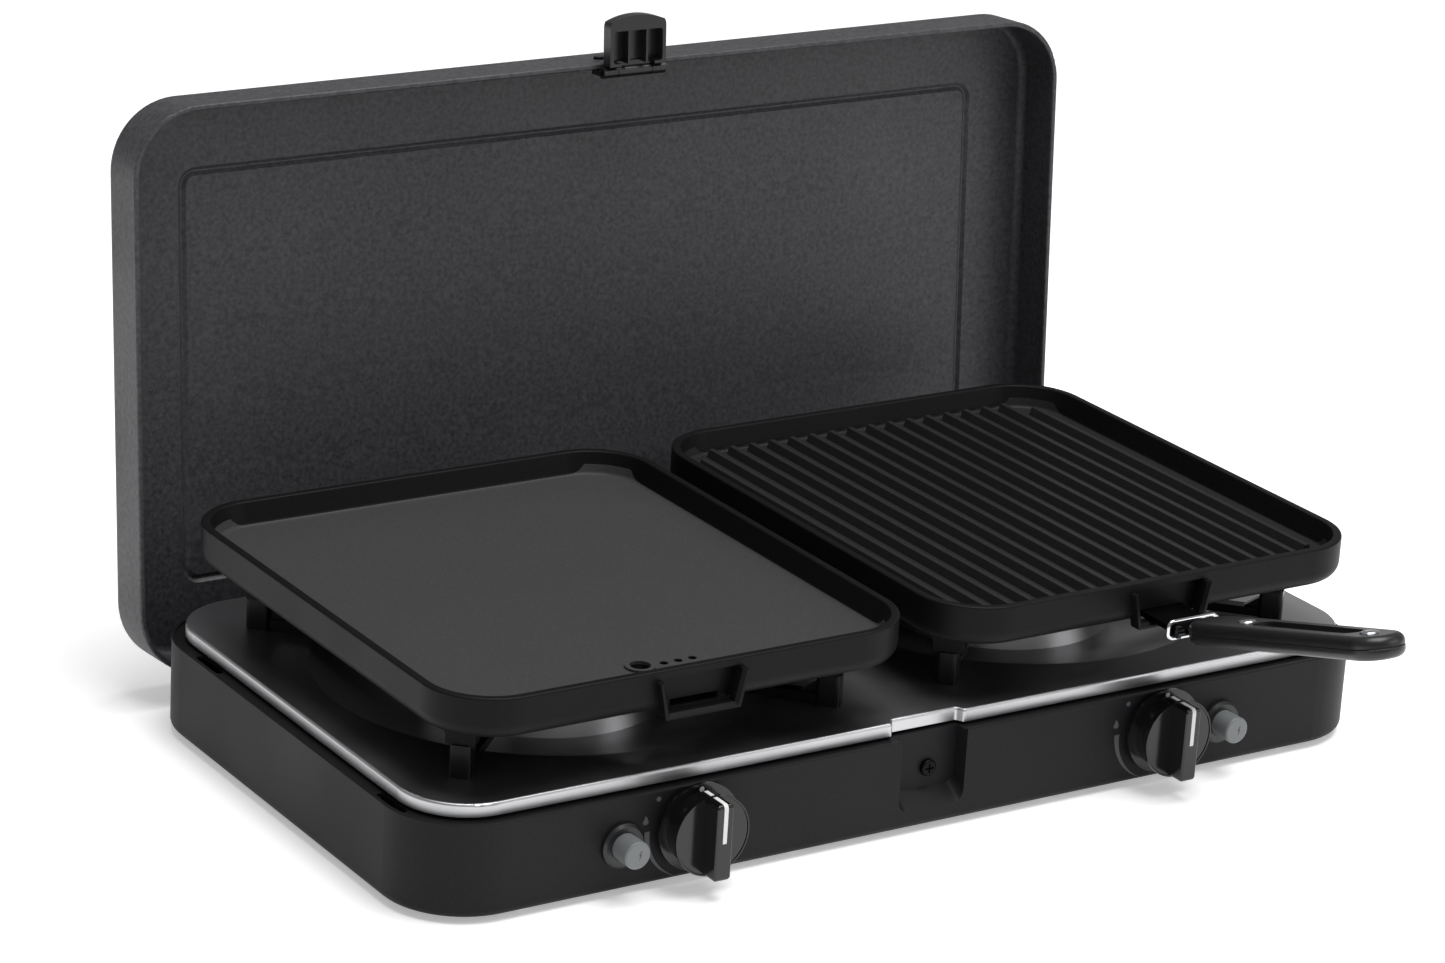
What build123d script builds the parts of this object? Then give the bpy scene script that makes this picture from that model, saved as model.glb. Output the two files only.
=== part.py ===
from build123d import *
import os
from math import radians, sqrt, tan

# A two-burner gas camping stove with its lid open. Millimetres, +Z up, front towards -Y.
# X = 0, Y = 0 is the middle of the base; Z = 0 is the surface that the rubber feet stand on.

# ---- driving dimensions ----
WIDTH, DEPTH, CORNER = 600.0, 314.0, 44.0  # base casing outline and its corner radius
FOOT_GAP = 3.0                             # casing underside above the ground
LEDGE_Z = 53.5                             # top of the casing, where the lid sits when closed
DECK_Z = 61.3                              # top of the stainless plate
DECK_INSET = 7.4                           # plate edge inside the casing outline
SHEET = 1.5                                # wall of the casing and lid
PLATE = 1.0                                # stainless sheet
BURNER_X, BURNER_Y = 147.0, -3.0           # burner centres at +X and -X
WELL_R, DISH_R = 122.0, 66.0               # well opening, and the foot of the pedestal in it
WELL_DEPTH = 14.3
PEDESTAL_R, PEDESTAL_RISE, HEAD_HOLE_R = 63.2, 9.4, 30.6
POST_REACH = 110.0                         # trivet posts, from the burner centre along X and Y
POST_TOP_Z = 79.0
PAN_W, PAN_D, PAN_R = 275.7, 305.3, 37.5   # pan rim outline
PAN_BOTTOM_Z, PAN_FLOOR_Z, PAN_RIM_Z = 95.0, 105.0, 117.6
KNOB_Z, BUTTON_X, BUTTON_Z = 32.4, 189.0, 28.5
VALVE_Y, VALVE_BACK = -134.0, 13.0         # middle of the valve body, and half its length
LID_LEAN = 3.7                             # degrees that the open lid leans back past upright
LID_DEEP, LID_GAP = 33.4, 0.4              # tray depth, and its clearance above the ledge
LID_FOOT_Y, LID_FOOT_Z = 190.9, 14.7       # outer lower edge of the open lid
LID_CORNER = 38.0
HINGE_X = 190.0                            # the two lid hinges, left and right of the middle
HANDLE_TILT = 16.5                         # degrees that the grip rises
HANDLE_BEND_Y, HANDLE_BEND_Z = -182.0, 97.6
FIT = 0.05                                 # radial clearance of a pin in its hole
RUN = 0.3                                  # clearance between moving round parts

FRONT = -DEPTH / 2
BACK = DEPTH / 2
LEFT_RIGHT = (("left", -1), ("right", 1))


# ---- helpers ----
def slab(width, depth, low, high, radius=0.0, x=0.0, y=0.0):
    """Upright block between two heights, with rounded vertical corners."""
    outline = RectangleRounded(width, depth, radius) if radius else Rectangle(width, depth)
    return Pos(x, y, low) * extrude(outline, high - low)


def box(x0, x1, y0, y1, z0, z1):
    return Pos((x0 + x1) / 2, (y0 + y1) / 2, (z0 + z1) / 2) * Box(x1 - x0, y1 - y0, z1 - z0)


def disc(radius, low, high, x=0.0, y=0.0):
    """Upright cylinder between two heights."""
    return Pos(x, y, (low + high) / 2) * Cylinder(radius, high - low)


def rod_x(radius, x0, x1, y, z):
    return Pos((x0 + x1) / 2, y, z) * Rot(0, 90, 0) * Cylinder(radius, x1 - x0)


def rod_y(radius, y0, y1, x, z):
    return Pos(x, (y0 + y1) / 2, z) * Rot(90, 0, 0) * Cylinder(radius, y1 - y0)


def turned(points, x=0.0, y=0.0):
    """Ring turned about an upright axis from (radius, height) points."""
    return Pos(x, y, 0) * revolve(make_face(Plane.XZ * Polyline(*points, close=True)), Axis.Z)


def tube(route, radii, radius):
    """Round bar along straight runs joined by tangent arcs."""
    path = FilletPolyline(*route, radius=radii)
    start = Plane(origin=path @ 0, z_dir=path % 0)
    return sweep(start * Circle(radius), path=path)


def joined(*solids):
    whole = solids[0]
    for piece in solids[1:]:
        whole = whole + piece
    return whole


def vertical_edges(solid):
    return solid.edges().filter_by(Axis.Z)


def rim_edges(solid, height):
    """Edges that lie wholly at one height."""
    return solid.edges().filter_by(lambda e: abs(e.bounding_box().min.Z - height) < 1e-4
                                   and abs(e.bounding_box().max.Z - height) < 1e-4)


def write(name, *solids):
    shape = solids[0] if len(solids) == 1 else Compound(children=list(solids))
    shape.label = name
    export_step(shape, f"parts/{name}.step")


def to_open_lid(solid):
    """Takes a lid piece drawn flat (Y up the lid, Z from its back face to its rim) to the open lid."""
    return Pos(0, LID_FOOT_Y, LID_FOOT_Z) * Rot(90 - LID_LEAN, 0, 0) * solid


def to_handle(solid):
    """Takes a handle piece drawn along -Y from its bend to the tilted handle of the grill pan."""
    return Pos(BURNER_X, HANDLE_BEND_Y, HANDLE_BEND_Z) * Rot(-HANDLE_TILT, 0, 0) * solid


# ---- base casing ----
ARM_HALF = 5.0
STRIKE_SCREW_Z = 31.5
BRACKET_SCREW_REACH, BRACKET_SCREW_Z = 17.0, (24.5, 43.0)
BRACKET_SCREWS = [(side * HINGE_X + across, z) for side in (-1, 1)
                  for across in (-BRACKET_SCREW_REACH, BRACKET_SCREW_REACH) for z in BRACKET_SCREW_Z]
RECESS_HALF, RECESS_BACK, RECESS_LOW, RECESS_SILL = 20.5, 10.0, 13.5, 7.0
LATCH_X = 3.0                              # the latch and its catch screw stand a little right of middle
LEDGE_WIDTH, FLANGE_WIDTH, LIP_WIDTH, LIP_HIGH = 15.0, 14.0, 1.8, 1.0
LEDGE_SLOTS_Y, LEDGE_SLOT_LONG = (88.0, -111.0), 26.0


def recess_block(grow):
    """Front pocket for the lid catch: open at the front and top, with a sloping sill."""
    half, back, low = RECESS_HALF + grow, FRONT + RECESS_BACK + grow, RECESS_LOW - grow
    slope = RECESS_SILL / RECESS_BACK
    profile = Polyline((FRONT - 1, low - slope), (back, low + slope * (RECESS_BACK + grow)),
                       (back, LEDGE_Z + 1), (FRONT - 1, LEDGE_Z + 1), close=True)
    block = Pos(-half, 0, 0) * extrude(make_face(Plane.YZ * profile), 2 * half)
    ends = [e for e in block.edges() if abs(abs(e.center().X) - half) < 0.1 and e.bounding_box().size.Y > 1]
    sill_ends = [e for e in ends if e.center().Z < low + RECESS_SILL]
    return fillet(sill_ends, 5.0 + grow)


def base_casing():
    shell = slab(WIDTH, DEPTH, FOOT_GAP, LEDGE_Z, CORNER)
    shell = fillet(rim_edges(shell, FOOT_GAP), 4.0)
    shell = fillet(rim_edges(shell, LEDGE_Z), 0.7)
    ledge_z = LEDGE_Z - LIP_HIGH
    hollow = slab(WIDTH - 2 * SHEET, DEPTH - 2 * SHEET, FOOT_GAP + SHEET, ledge_z - SHEET, CORNER - SHEET)
    hollow = fillet(rim_edges(hollow, FOOT_GAP + SHEET), 2.5)
    top = slab(WIDTH - 2 * LEDGE_WIDTH, DEPTH - 2 * LEDGE_WIDTH, LEDGE_Z - 5, LEDGE_Z + 5,
               CORNER - LEDGE_WIDTH)
    under = slab(WIDTH - 2 * FLANGE_WIDTH, DEPTH - 2 * FLANGE_WIDTH, 0, 9, CORNER - FLANGE_WIDTH)
    shell = shell - hollow - top - under
    backing = recess_block(SHEET) & box(-40, 40, FRONT + 0.2, FRONT + 30, FOOT_GAP, LEDGE_Z)
    inner_width, inner_depth = WIDTH - 2 * LIP_WIDTH, DEPTH - 2 * LIP_WIDTH
    shell = shell + backing - slab(inner_width, inner_depth, ledge_z, LEDGE_Z + 1, CORNER - LIP_WIDTH)
    shell = shell - recess_block(0.0)
    for side in (-1, 1):
        for y in LEDGE_SLOTS_Y:
            slot_x = side * (WIDTH / 2 - 5.2)
            shell = shell - slab(5.0, LEDGE_SLOT_LONG, LEDGE_Z - 3, LEDGE_Z + 1, 2.4, slot_x, y)
        shell = shell - rod_y(SPINDLE_R + 1.0, FRONT - 5, FRONT + 5, side * BURNER_X, KNOB_Z)
        shell = shell - rod_y(BEZEL_NECK_R + FIT, FRONT - 5, FRONT + 5, side * BUTTON_X, BUTTON_Z)
        shell = shell - box(side * HINGE_X - ARM_HALF - 1.5, side * HINGE_X + ARM_HALF + 1.5,
                            BACK - 25, BACK + 5, 10.0, LEDGE_Z + 1)
    shell = shell - rod_x(INLET_R + FIT, WIDTH / 2 - 5, WIDTH / 2 + 5, INLET_Y, INLET_Z)
    for x, y in FLOOR_SCREWS:
        shell = shell - disc(1.6 + FIT, FOOT_GAP - 1, FOOT_GAP + SHEET + 1, x, y)
    for x, z in BRACKET_SCREWS:
        shell = shell - rod_y(1.6 + FIT, BACK - 4, BACK + 2, x, z)
    return shell - rod_y(1.6 + FIT, FRONT, FRONT + 14, LATCH_X, STRIKE_SCREW_Z)


FLOOR_SCREWS = [(x, y) for x in (-240, -80, 80, 240) for y in (FRONT + 10, BACK - 10)]
FEET = [(x, y) for x in (-262, 262) for y in (-120, 120)]


def base_floor():
    z = FOOT_GAP + SHEET
    floor = slab(WIDTH - 2 * SHEET - 8, DEPTH - 2 * SHEET - 8, z, z + 1.2, CORNER - SHEET - 4)
    for side in (-1, 1):
        for row in range(-3, 4):
            floor = floor - slab(70, 5, z - 1, z + 3, 2.4, side * BURNER_X, BURNER_Y + 13 * row)
    for x, y in FLOOR_SCREWS:
        floor = floor - disc(1.6, z - 1, z + 3, x, y)
    for x, y in FEET:
        floor = floor - disc(3.0, z - 1, z + 3, x, y)
    return floor


def rubber_foot(x, y):
    z = FOOT_GAP + SHEET
    pad = fillet(rim_edges(disc(12, 0, z, x, y), 0), 1.2)
    return joined(pad, disc(3.0, z, z + 1.2, x, y), turned(
        [(0, z + 1.2), (4.4, z + 1.2), (2.4, z + 5), (0, z + 5)], x, y))


def floor_screw(x, y):
    head = fillet(rim_edges(disc(3.2, FOOT_GAP - 1.6, FOOT_GAP, x, y), FOOT_GAP - 1.6), 0.7)
    cross = (box(x - 1.8, x + 1.8, y - 0.35, y + 0.35, 0, FOOT_GAP - 0.8)
             + box(x - 0.35, x + 0.35, y - 1.8, y + 1.8, 0, FOOT_GAP - 0.8))
    return head + disc(1.6, FOOT_GAP, FOOT_GAP + 7, x, y) - cross


# ---- stainless top plate ----
JOGGLE_HALF, JOGGLE_DEEP, BAND = 21.0, 4.5, 7.0
DECK_W, DECK_D, DECK_R = WIDTH - 2 * DECK_INSET, DEPTH - 2 * DECK_INSET, CORNER - DECK_INSET


def deck_outline(inset):
    outline = RectangleRounded(DECK_W - 2 * inset, DECK_D - 2 * inset, DECK_R - inset)
    notch = Pos(0, -DECK_D / 2 + inset) * Trapezoid(2 * JOGGLE_HALF + 9, 2 * JOGGLE_DEEP, 60)
    outline = outline - notch
    steps = outline.vertices().filter_by(lambda v: abs(v.X) < JOGGLE_HALF + 8)
    return fillet(steps, 1.8)


def well(x):
    """Dished burner well: a slope down from the deck to a steep-sided pedestal with a flat top."""
    foot, top = DECK_Z - WELL_DEPTH, DECK_Z - WELL_DEPTH + PEDESTAL_RISE
    upper = [(WELL_R + 3, DECK_Z), (WELL_R, DECK_Z), (DISH_R, foot), (PEDESTAL_R, top), (HEAD_HOLE_R, top)]
    under = [(HEAD_HOLE_R, top - PLATE), (PEDESTAL_R - PLATE, top - PLATE), (DISH_R - PLATE, foot - PLATE),
             (WELL_R, DECK_Z - PLATE), (WELL_R + 3, DECK_Z - PLATE)]
    return turned(upper + under, x, BURNER_Y)


def top_plate():
    plate = Pos(0, 0, DECK_Z - BAND) * extrude(deck_outline(0.0), BAND)
    plate = fillet(rim_edges(plate, DECK_Z), 1.6)
    plate = plate - Pos(0, 0, DECK_Z - BAND - 1) * extrude(deck_outline(PLATE), BAND + 1 - PLATE)
    for side in (-1, 1):
        x = side * BURNER_X
        plate = plate - disc(WELL_R + 2, DECK_Z - 5, DECK_Z + 5, x, BURNER_Y) + well(x)
        plate = plate - disc(PROBE_R + 0.4, DECK_Z - 30, DECK_Z, x - side * PROBE_REACH, BURNER_Y)
        plate = plate - disc(SPARK_R + 0.4, DECK_Z - 30, DECK_Z, x + side * PROBE_REACH, BURNER_Y)
    return plate


# ---- burners and gas train ----
SPINDLE_R, SPINDLE_TIP, FLAT_END, FLAT_HIGH = 4.0, FRONT - 21.0, FRONT - 6.0, 2.6
HEAD_R, HEAD_TOP = 29.6, DECK_Z + 1.0
VENTURI_Z = KNOB_Z
VALVE_REAR = VALVE_Y + VALVE_BACK
JET_TIP_Y = VALVE_REAR + 12.0
PROBE_REACH, PROBE_R, SPARK_R = 39.0, 2.4, 2.4
RAIL_R, RAIL_Z, RAIL_Y = 4.0, 14.5, VALVE_Y
INLET_Y, INLET_Z, INLET_R = 60.0, 24.0, 6.0
EAR_LOW, EAR_HIGH = 40.0, 44.0
FLOOR_TOP = FOOT_GAP + SHEET + 1.2


def burner_body(x):
    """Cast burner: a cup with flame ports on a tapering mixing tube that reaches the jet."""
    cup = turned([(0, 20), (20, 20), (HEAD_R, 34), (HEAD_R, HEAD_TOP), (24, HEAD_TOP),
                  (24, 36), (0, 28)], x, BURNER_Y)
    start, end = JET_TIP_Y - 5.0, BURNER_Y - 22.0
    mixer = Pos(x, (start + end) / 2, VENTURI_Z) * Rot(90, 0, 0) * Cone(9.5, 12.5, end - start)
    bore = Pos(x, (start + end) / 2, VENTURI_Z) * Rot(90, 0, 0) * Cone(7.5, 10.0, end - start + 12)
    body = cup + mixer - bore
    for number in range(24):
        port = Rot(0, 0, number * 15) * Pos(27, 0, HEAD_TOP - 1) * Box(12, 1.6, 4)
        body = body - Pos(x, BURNER_Y, 0) * port
    for half in (-1, 1):
        middle = x + half * 7
        body = body - box(middle - 4, middle + 4, start + 6, start + 16, VENTURI_Z - 3, VENTURI_Z + 3)
        low, high = sorted((x + half * 28, x + half * 43))
        ear = box(low, high, BURNER_Y - 4.5, BURNER_Y + 4.5, EAR_LOW, EAR_HIGH)
        body = body + ear - disc(SPARK_R, EAR_LOW - 1, EAR_HIGH + 1, x + half * PROBE_REACH, BURNER_Y)
    return body + box(x - 8, x + 8, BURNER_Y + 27, BURNER_Y + 40, 34, 38)


def burner_stand(x):
    """Bent strap on the floor: a rear leg under the burner lug and a short leg under the mixing tube."""
    y0, y1 = -95.0, BURNER_Y + 40
    strap = box(x - 8, x + 8, y0, y1, FLOOR_TOP, FLOOR_TOP + 1.5)
    rear = box(x - 8, x + 8, y1 - 1.5, y1, FLOOR_TOP, 34) + box(x - 8, x + 8, y1 - 9.5, y1, 32.5, 34)
    return strap + rear + box(x - 5, x + 5, y0, y0 + 1.5, FLOOR_TOP, VENTURI_Z - 12.2)


def burner_cap(x):
    cap = turned([(0, HEAD_TOP), (33, HEAD_TOP), (33, HEAD_TOP + 2.5), (29, HEAD_TOP + 5.5),
                  (12, HEAD_TOP + 7), (0, HEAD_TOP + 7)], x, BURNER_Y)
    skirt = [(20, HEAD_TOP - 4), (23.5, HEAD_TOP - 4), (23.5, HEAD_TOP), (20, HEAD_TOP)]
    return cap + turned(skirt, x, BURNER_Y)


def gas_valve(x):
    """Valve body with a bore for the spindle and a seat for the jet."""
    body = box(x - 12, x + 12, VALVE_Y - VALVE_BACK, VALVE_REAR, RAIL_Z, KNOB_Z + 12)
    body = fillet(body.edges().filter_by(Axis.Y).group_by(Axis.Z)[-1], 3.0)
    body = body + rod_y(8.0, FRONT + SHEET, VALVE_Y - VALVE_BACK + 1, x, KNOB_Z)
    body = body + rod_y(6.0, VALVE_REAR - 1, VALVE_REAR + 3, x, KNOB_Z)
    body = body - rod_y(SPINDLE_R + FIT, FRONT - 5, VALVE_Y - 2, x, KNOB_Z)
    body = body - rod_y(3.0, VALVE_REAR - 6, VALVE_REAR + 6, x, KNOB_Z)
    return body - rod_x(RAIL_R, x - 20, x + 20, RAIL_Y, RAIL_Z)


def valve_spindle(x):
    """Turning spindle, with a flat for the knob at its outer end."""
    spindle = rod_y(SPINDLE_R, SPINDLE_TIP, VALVE_Y - 2.6, x, KNOB_Z)
    return spindle - box(x - 5, x + 5, SPINDLE_TIP - 2, FLAT_END, KNOB_Z + FLAT_HIGH, KNOB_Z + 5)


def injector(x):
    jet = rod_y(3.0, VALVE_REAR - 6, VALVE_REAR + 3, x, KNOB_Z)
    hexagon = Pos(x, VALVE_REAR + 3, KNOB_Z) * Rot(-90, 0, 0) * extrude(RegularPolygon(5.0, 6), 5)
    jet = jet + hexagon + rod_y(2.6, VALVE_REAR + 8, JET_TIP_Y, x, KNOB_Z)
    return jet - rod_y(0.5, VALVE_REAR - 8, JET_TIP_Y + 2, x, KNOB_Z)


def gas_rail():
    """Pipe that joins both valves and turns back to the inlet in the right-hand wall."""
    turn_x = 250.0
    route = [(-BURNER_X - 14, RAIL_Y, RAIL_Z), (turn_x, RAIL_Y, RAIL_Z), (turn_x, INLET_Y - 45, RAIL_Z),
             (turn_x, INLET_Y, INLET_Z), (WIDTH / 2 - 24, INLET_Y, INLET_Z)]
    return tube(route, [18.0, 40.0, 14.0], RAIL_R)


def gas_inlet():
    """Hose tail with its nuts, through the right-hand wall."""
    wall = WIDTH / 2
    inlet = rod_x(INLET_R, wall - 24, wall + 2.5, INLET_Y, INLET_Z)
    for start, length, size in ((wall - SHEET - 8, 8, 10.0), (wall, 2.5, 9.0)):
        nut = Rot(0, 90, 0) * extrude(RegularPolygon(size, 6), length)
        inlet = inlet + Pos(start, INLET_Y, INLET_Z) * nut
    for step in range(3):
        barb = Pos(wall + 5.0 + 5 * step, INLET_Y, INLET_Z) * Rot(0, 90, 0) * Cone(5.2, 4.2, 5)
        inlet = inlet + barb
    return inlet - rod_x(3.0, wall - 22, wall + 20, INLET_Y, INLET_Z)


def thermocouple(side):
    """Flame probe beside the burner, and its lead to the back of the valve."""
    probe_x, valve_x = side * (BURNER_X - PROBE_REACH), side * (BURNER_X - 10)
    probe = disc(PROBE_R, 30, DECK_Z + 3, probe_x, BURNER_Y)
    lead = tube([(probe_x, BURNER_Y, 30), (probe_x, BURNER_Y, 14), (probe_x, -60, 14),
                 (valve_x, -100, 20), (valve_x, VALVE_REAR, 20)], [8.0, 20.0, 15.0], 1.4)
    return probe + lead


def electrode(side):
    """Ceramic-sleeved spark rod beside the burner."""
    x = side * (BURNER_X + PROBE_REACH)
    sleeve = disc(SPARK_R, 30, DECK_Z - 2, x, BURNER_Y)
    return sleeve + disc(0.9, DECK_Z - 2, DECK_Z + 4, x, BURNER_Y)


def ignition_lead(side):
    """High-tension lead from the back of the igniter to the electrode."""
    x = side * (BURNER_X + PROBE_REACH)
    route = [(side * BUTTON_X, IGNITER_BACK, BUTTON_Z), (side * BUTTON_X, IGNITER_BACK + 24, BUTTON_Z),
             (x, -62, 16), (x, BURNER_Y - 12, 16), (x, BURNER_Y, 22), (x, BURNER_Y, 30)]
    return tube(route, [22.0, 22.0, 6.0, 5.0], 1.3)


# ---- front controls ----
KNOB_PROFILE = [(0, 3.6), (23.0, 3.6), (23.6, 4.2), (23.6, 5.6), (19.4, 6.0), (19.6, 13.0), (21.7, 17.2),
                (21.7, 18.3), (20.9, 18.3), (20.6, 17.8), (0, 17.8)]  # radius, and distance from the wall
BAR_HALF, BAR_REACH, BAR_BACK, BAR_FRONT = 4.8, 20.8, 9.0, 29.0
PUSH, INLAY_HALF = 3.0, 1.15
BEZEL_R, BEZEL_NECK_R, BUTTON_R, BUTTON_OUT, PRESS = 12.0, 9.6, 7.4, 16.0, 4.0
IGNITER_BACK = FRONT + 38.0


def knob(x):
    """Flange, drum and full-height bar grip; the bore takes the spindle and its flat."""
    body = Pos(x, FRONT, KNOB_Z) * Rot(90, 0, 0) * turned(KNOB_PROFILE)
    low, high = KNOB_Z - BAR_REACH, KNOB_Z + BAR_REACH
    bar = box(x - BAR_HALF, x + BAR_HALF, FRONT - BAR_FRONT, FRONT - BAR_BACK, low, high)
    bar = fillet(bar.edges().filter_by(Axis.Z).group_by(Axis.Y)[0], 0.9)
    bar = fillet(bar.faces().sort_by(Axis.Y)[0].edges().filter_by(Axis.X), 2.2)
    bore = rod_y(SPINDLE_R + FIT, SPINDLE_TIP - PUSH - 0.4, FRONT, x, KNOB_Z)
    bore = bore - box(x - 5, x + 5, FRONT - 40, FLAT_END - PUSH - 0.4, KNOB_Z + FLAT_HIGH + FIT, KNOB_Z + 6)
    return body + bar - bore


def knob_marker(x):
    """Pale indicator line inlaid along the top and front of the bar."""
    front, top, half = FRONT - BAR_FRONT, KNOB_Z + BAR_REACH, INLAY_HALF
    line = box(x - half, x + half, front - 0.25, front + 1.0, KNOB_Z, top - 2.4)
    cap = box(x - half, x + half, front + 2.4, FRONT - BAR_BACK - 0.6, top - 1.0, top + 0.25)
    corner = rod_x(2.45, x - half, x + half, front + 2.2, top - 2.2)
    corner = corner - rod_x(1.4, x - half, x + half, front + 2.2, top - 2.2)
    corner = corner & box(x - half, x + half, front - 1, front + 2.4, top - 2.4, top + 1)
    return line + cap + corner


def button_bezel(x):
    """Stepped collar round the igniter button, clipped through the front wall."""
    ring = rod_y(BEZEL_R, FRONT - 3.5, FRONT, x, BUTTON_Z)
    ring = chamfer(ring.faces().sort_by(Axis.Y)[0].edges(), 1.4)
    ring = ring + rod_y(BEZEL_NECK_R, FRONT, FRONT + 6, x, BUTTON_Z)
    return ring - rod_y(BUTTON_R + RUN, FRONT - 5, FRONT + 8, x, BUTTON_Z)


def igniter_button(x):
    cap = rod_y(BUTTON_R, FRONT - BUTTON_OUT, FRONT + 6 - PRESS - 0.5, x, BUTTON_Z)
    cap = fillet(cap.faces().sort_by(Axis.Y)[0].edges(), 1.3)
    return cap + rod_y(3.0, FRONT + 1, FRONT + 14, x, BUTTON_Z)


def igniter_module(x):
    """Piezo generator behind the button."""
    body = rod_y(9.2, FRONT + 6.0, IGNITER_BACK - 4, x, BUTTON_Z)
    body = body + rod_y(3.5, IGNITER_BACK - 5, IGNITER_BACK, x, BUTTON_Z)
    return body - rod_y(3.0 + RUN, FRONT, FRONT + 14 + PRESS + 1, x, BUTTON_Z)


# ---- trivets and pans ----
def trivet(x):
    """Four posts on low diagonal arms that meet in a ring round the burner."""
    reach = POST_REACH * sqrt(2)
    low, ring_r = DECK_Z, 58.0
    inner, outer = ring_r - 3, ring_r + 3
    frame = turned([(inner, low + 1), (outer, low + 1), (outer, low + 6), (inner, low + 6)])
    for quarter in range(4):
        arm = box(ring_r, reach + 5, -3.5, 3.5, low + 1, low + 6)
        foot = fillet(vertical_edges(box(reach - 7.5, reach + 5.5, -5.5, 5.5, low, POST_TOP_Z)), 2.2)
        fin = Polyline((ring_r - 20, POST_TOP_Z - 8), (ring_r - 12, POST_TOP_Z), (ring_r + 14, POST_TOP_Z),
                       (ring_r + 22, low + 3), (ring_r - 2, low + 3), close=True)
        spoke = extrude(make_face(Plane.XZ * fin), 1.8, both=True)
        web = Polyline((reach - 20, low + 3), (reach - 6, low + 3), (reach - 6, low + 13), close=True)
        gusset = extrude(make_face(Plane.XZ * web), 2.0, both=True)
        frame = frame + Rot(0, 0, 45 + 90 * quarter) * joined(arm, foot, spoke, gusset)
    return Pos(x, BURNER_Y, 0) * frame


def pan_shell(x):
    """Cast pan: drafted wall, floor, hollow underside and four corner feet."""
    outer = slab(PAN_W, PAN_D, PAN_BOTTOM_Z, PAN_RIM_Z, PAN_R, x, BURNER_Y)
    outer = fillet(rim_edges(outer, PAN_BOTTOM_Z), 8.0)
    inside = Pos(x, BURNER_Y, PAN_FLOOR_Z) * extrude(
        RectangleRounded(PAN_W - 17, PAN_D - 17, PAN_R - 8.5), PAN_RIM_Z - PAN_FLOOR_Z + 1, taper=-17)
    inside = fillet(rim_edges(inside, PAN_FLOOR_Z), 2.5)
    under = slab(PAN_W - 26, PAN_D - 26, PAN_BOTTOM_Z - 1, PAN_FLOOR_Z - 5, PAN_R - 13, x, BURNER_Y)
    pan = outer - inside - under
    pan = fillet(rim_edges(pan, PAN_RIM_Z), 1.1)
    for across in (-1, 1):
        for along in (-1, 1):
            pan = pan + pan_foot(x + across * POST_REACH, BURNER_Y + along * POST_REACH, across, along)
    return pan


def pan_foot(x, y, across, along):
    """Tapered foot that stands on a trivet post."""
    foot = Pos(0, 0, POST_TOP_Z) * extrude(Rectangle(15, 9), PAN_FLOOR_Z - 3 - POST_TOP_Z, taper=-6.5)
    return Pos(x, y, 0) * Rot(0, 0, -45 * across * along) * foot


SOCKET_LOW, SOCKET_HIGH, TONGUE_LOW, TONGUE_THICK = 92.8, 112.5, 96.0, 3.0


def socket(x):
    """U-shaped lip on the front wall, its pocket with a bevelled mouth, and the slot for the tongue."""
    face_y = BURNER_Y - PAN_D / 2
    shape = Polyline((-22, SOCKET_LOW), (22, SOCKET_LOW), (26, SOCKET_HIGH), (-26, SOCKET_HIGH), close=True)
    hole = Polyline((-19.2, SOCKET_LOW + 2.8), (19.2, SOCKET_LOW + 2.8), (23.2, SOCKET_HIGH + 1),
                    (-23.2, SOCKET_HIGH + 1), close=True)
    mouth = make_face(Plane.XZ * hole)
    lip = Pos(x, face_y + 2.0, 0) * extrude(make_face(Plane.XZ * shape), 7.0)
    pocket = Pos(x, face_y + 5.0, 0) * extrude(mouth, 12.0)
    pocket = pocket + Pos(x, face_y - 3.2, 0) * extrude(mouth, 2.2, taper=-42)
    slot = box(x - 14, x + 14, face_y - 1, face_y + 20, TONGUE_LOW - RUN, TONGUE_LOW + TONGUE_THICK + RUN)
    return lip, pocket, slot


def with_socket(pan, x):
    lip, pocket, slot = socket(x)
    return pan + lip - pocket - slot


DRAIN_Y = BURNER_Y - 117.0
RIB_PITCH, RIBS, RIB_HIGH = 13.6, 18, 4.5


def griddle_pan():
    pan = with_socket(pan_shell(-BURNER_X), -BURNER_X)
    boss = disc(8.0, PAN_FLOOR_Z - 8, PAN_FLOOR_Z + 1.2, -BURNER_X - 13, DRAIN_Y)
    pan = pan + boss - disc(5.5, PAN_FLOOR_Z - 10, PAN_FLOOR_Z + 3, -BURNER_X - 13, DRAIN_Y)
    for step in range(3):
        pan = pan - disc(2.3, PAN_FLOOR_Z - 10, PAN_FLOOR_Z + 3, -BURNER_X + 1 + 8.5 * step, DRAIN_Y)
    return pan


def grill_pan():
    pan = with_socket(pan_shell(BURNER_X), BURNER_X)
    low, high = PAN_FLOOR_Z - 1.0, PAN_FLOOR_Z + RIB_HIGH
    profile = make_face(Plane.XZ * Polyline((-3.4, low), (3.4, low), (1.5, high), (-1.5, high), close=True))
    for number in range(RIBS):
        across = (number - (RIBS - 1) / 2) * RIB_PITCH
        from_edge = PAN_W / 2 - 9 - abs(across)
        length = PAN_D - 26 - (2 * (26 - from_edge) if from_edge < 26 else 0)
        rib = extrude(profile, length / 2, both=True)
        pan = pan + Pos(BURNER_X + across, BURNER_Y, 0) * rib
    for step in range(5):
        pan = pan - disc(2.4, PAN_FLOOR_Z - 10, PAN_FLOOR_Z + 3, BURNER_X + (step - 2) * RIB_PITCH, DRAIN_Y)
    return pan


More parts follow.
